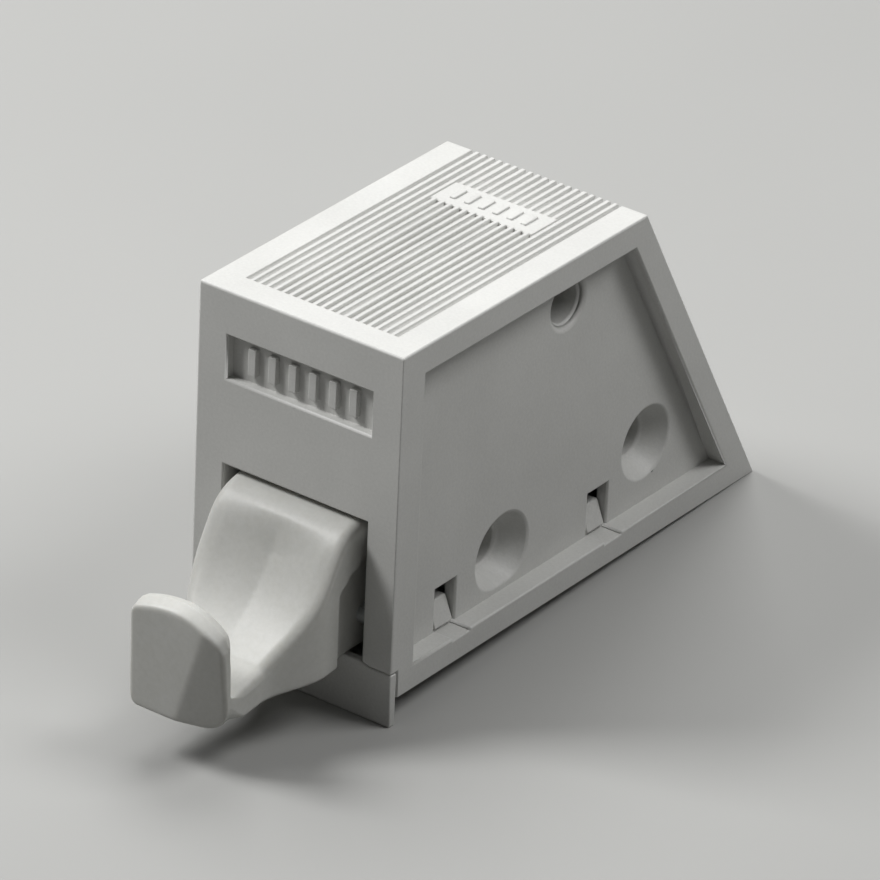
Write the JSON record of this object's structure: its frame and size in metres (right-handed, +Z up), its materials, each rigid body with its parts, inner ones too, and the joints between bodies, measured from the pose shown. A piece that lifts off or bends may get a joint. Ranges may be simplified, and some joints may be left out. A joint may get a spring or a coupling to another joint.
{
  "type": "push to open catch",
  "caption": "Push to open cabinet catch: a ribbed trapezoid housing with recessed, bored sides and a sprung, hooked lever that locks when pushed and springs out at the next push.",
  "frame": {"origin": "middle of the front face, level with the underside of the housing", "axes": "+X across the body, +Y back from the front face, +Z up; the hooked lever points along -Y"},
  "size_m": [0.0224, 0.0719, 0.037],
  "materials": {
    "housing_plastic": "fine matt moulded grain",
    "base_plastic": "fine matt moulded grain",
    "lever_plastic": "smooth satin moulding",
    "slide_plastic": "smooth moulding",
    "steel": "drawn, zinc plated",
    "spring_steel": "drawn spring wire and strip"
  },
  "bodies": {
    "body": {"housing": "housing_plastic", "base_plate": "base_plastic", "lever_pivot_pin": "steel", "follower_spring": "spring_steel", "spring_guide_rod": "steel", "ejector_spring": "spring_steel"},
    "lever": {"catch_lever": "lever_plastic", "drive_pin": "steel"},
    "slide": {"latch_slide": "slide_plastic"},
    "follower": {"cam_follower": "steel"}
  },
  "joints": [
    {"name": "lever_pivot", "type": "hinge", "parent": "body", "child": "lever", "pos_m": [0, 0.0021, 0.0065], "axis": [-1, 0, 0], "range_deg": [0, 28], "stiffness_Nm_per_rad": 0.05, "springref_deg": -20.05},
    {"name": "slide_travel", "type": "slide", "parent": "body", "child": "slide", "axis": [0, 1, 0], "range_m": [0, 0.00696], "deforming": ["ejector_spring"]},
    {"name": "follower_swing", "type": "hinge", "parent": "body", "child": "follower", "pos_m": [0, 0.031, 0.0146], "axis": [0, 0, 1], "range_deg": [0, 20.1]}
  ],
  "couplings": [
    {"joint": "slide_travel", "follows": "lever_pivot", "m_per_rad": 0.01425},
    {"joint": "follower_swing", "follows": "lever_pivot", "ratio": 0.71429}
  ]
}
